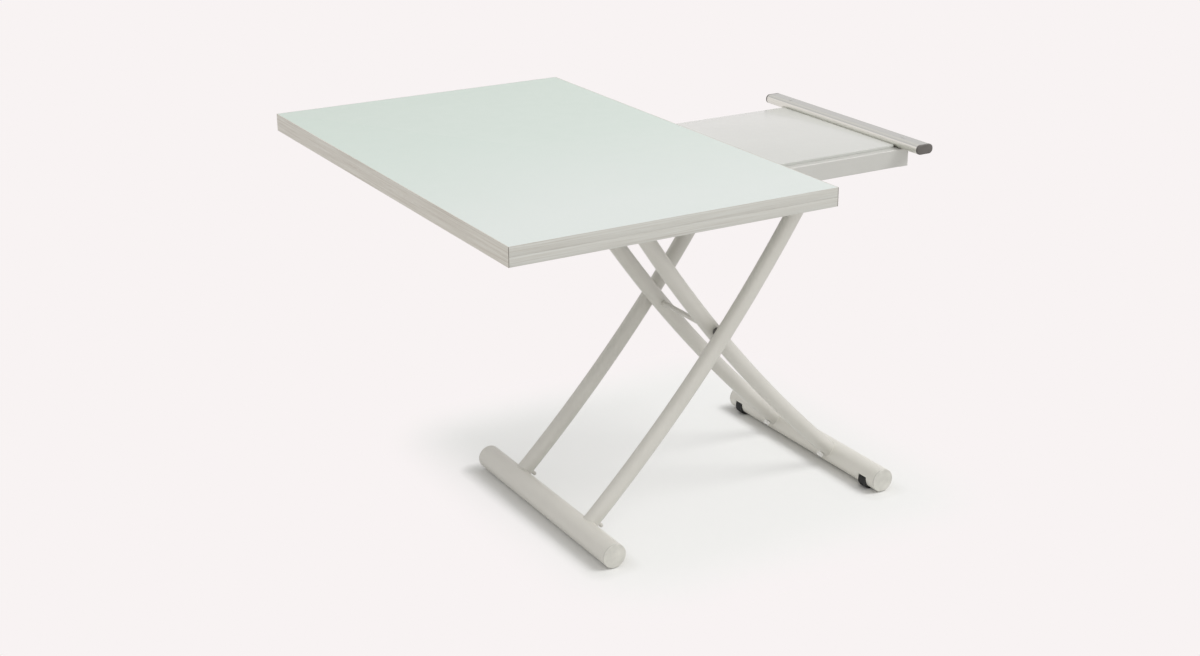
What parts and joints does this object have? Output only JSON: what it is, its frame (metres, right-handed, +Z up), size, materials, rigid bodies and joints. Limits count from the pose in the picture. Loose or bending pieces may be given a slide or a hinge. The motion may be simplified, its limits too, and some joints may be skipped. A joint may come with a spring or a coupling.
{
  "type": "extending dining table",
  "caption": "Height-adjustable extending dining table: a double glass-faced top swivels and opens like a book over a steel underframe on a wheeled scissor base.",
  "frame": {"origin": "on the floor under the middle of the table's box, as it stands with the top turned across the base", "axes": "+X along the underframe from the turned top to the bare end bar, +Y along the turned top's long side, +Z up"},
  "size_m": [1.162, 1.1, 0.837],
  "materials": {
    "frosted_glass": "satin-etched, back-painted pale mint",
    "grained_band": "pale taupe wood grain",
    "leaf_laminate": "pale taupe laminate",
    "white_lacquer": "gloss white",
    "grey_paint": "satin light warm grey powder coat",
    "grey_cap": "light warm grey",
    "satin_aluminium": "brushed, anodised",
    "dark_cap": "dark grey",
    "black_nylon": "black",
    "grey_nylon": "light grey",
    "black_tyre": "black",
    "clear_bumper": "clear silicone",
    "zinc": "bright zinc plated",
    "cast_block": "dark grey casting",
    "black_spring": "black",
    "bright_rod": "hard chrome"
  },
  "bodies": {
    "underframe": {"side_rail_near": "grey_paint", "side_rail_far": "grey_paint", "end_rail_outer": "grey_paint", "end_rail_inner": "grey_paint", "support_bar_outer": "satin_aluminium", "support_bar_inner": "satin_aluminium", "bar_end_caps": "dark_cap", "bar_screws": "zinc", "bar_bumpers": "clear_bumper", "tray_panel": "white_lacquer", "swivel_cross_plate": "grey_paint", "swivel_bolt": "zinc", "swivel_nut": "zinc", "swivel_base_disc": "black_nylon", "outer_leg_axle": "zinc", "axle_blocks": "cast_block", "axle_spacers": "zinc", "gas_spring_cylinder": "black_spring", "release_head": "cast_block", "lever_pin": "zinc"},
    "release": {"release_lever": "grey_paint", "lever_grip": "black_nylon"},
    "outer_legs": {"outer_leg_near": "grey_paint", "outer_leg_far": "grey_paint", "outer_leg_eyes": "black_nylon", "plain_foot": "grey_paint", "plain_foot_caps": "grey_cap", "foot_glides": "grey_nylon", "stop_pegs": "grey_paint", "scissor_axle": "grey_paint", "scissor_spacers": "black_nylon"},
    "inner_legs": {"inner_leg_near": "grey_paint", "inner_leg_far": "grey_paint", "inner_leg_eyes": "black_nylon", "scissor_bushes": "grey_cap", "wheel_foot": "grey_paint", "wheel_foot_caps": "grey_cap", "wheel_axles": "zinc", "leg_screws": "zinc"},
    "slide": {"slide_block_near": "black_nylon", "slide_block_far": "black_nylon", "slide_axle": "zinc", "slide_spacers": "zinc", "gas_spring_rod": "bright_rod"},
    "near_wheel": {"near_wheel_hub": "grey_nylon", "near_wheel_tyre": "black_tyre"},
    "far_wheel": {"far_wheel_hub": "grey_nylon", "far_wheel_tyre": "black_tyre"},
    "lower_leaf": {"lower_leaf_board": "leaf_laminate", "lower_leaf_bands": "grained_band", "swivel_top_plate": "grey_paint", "swivel_screws": "zinc", "hinge_lower_plates": "zinc", "hinge_pins": "zinc"},
    "upper_leaf": {"upper_leaf_board": "leaf_laminate", "upper_leaf_bands": "grained_band", "upper_leaf_glass": "frosted_glass", "hinge_upper_plates": "zinc"}
  },
  "joints": [
    {"name": "lift", "type": "hinge", "parent": "underframe", "child": "outer_legs", "pos_m": [0.3805, 0, 0.7566], "axis": [0, 1, 0], "range_deg": [0, 32]},
    {"name": "crossing", "type": "hinge", "parent": "outer_legs", "child": "inner_legs", "pos_m": [0.136, 0, 0.40476], "axis": [0, 1, 0], "range_deg": [-64, 0]},
    {"name": "slide_level", "type": "hinge", "parent": "inner_legs", "child": "slide", "pos_m": [-0.1085, 0, 0.7566], "axis": [0, 1, 0], "range_deg": [0, 32]},
    {"name": "near_wheel_spin", "type": "hinge", "parent": "inner_legs", "child": "near_wheel", "pos_m": [0.4775, -0.246, 0.019], "axis": [0, 1, 0], "continuous": true},
    {"name": "far_wheel_spin", "type": "hinge", "parent": "inner_legs", "child": "far_wheel", "pos_m": [0.4775, 0.246, 0.019], "axis": [0, 1, 0], "continuous": true},
    {"name": "swivel", "type": "hinge", "parent": "underframe", "child": "lower_leaf", "pos_m": [-0.094, 0.137, 0.7996], "axis": [0, 0, 1], "range_deg": [0, 90]},
    {"name": "book", "type": "hinge", "parent": "lower_leaf", "child": "upper_leaf", "pos_m": [0.1196, 0, 0.8178], "axis": [0, 1, 0], "range_deg": [0, 180]},
    {"name": "release_pull", "type": "hinge", "parent": "underframe", "child": "release", "pos_m": [0.4045, 0, 0.7506], "axis": [0, -1, 0], "range_deg": [0, 8], "stiffness_Nm_per_rad": 6, "springref_deg": -6.88}
  ],
  "couplings": [
    {"joint": "crossing", "follows": "lift", "ratio": -2},
    {"joint": "slide_level", "follows": "lift", "ratio": 1}
  ]
}
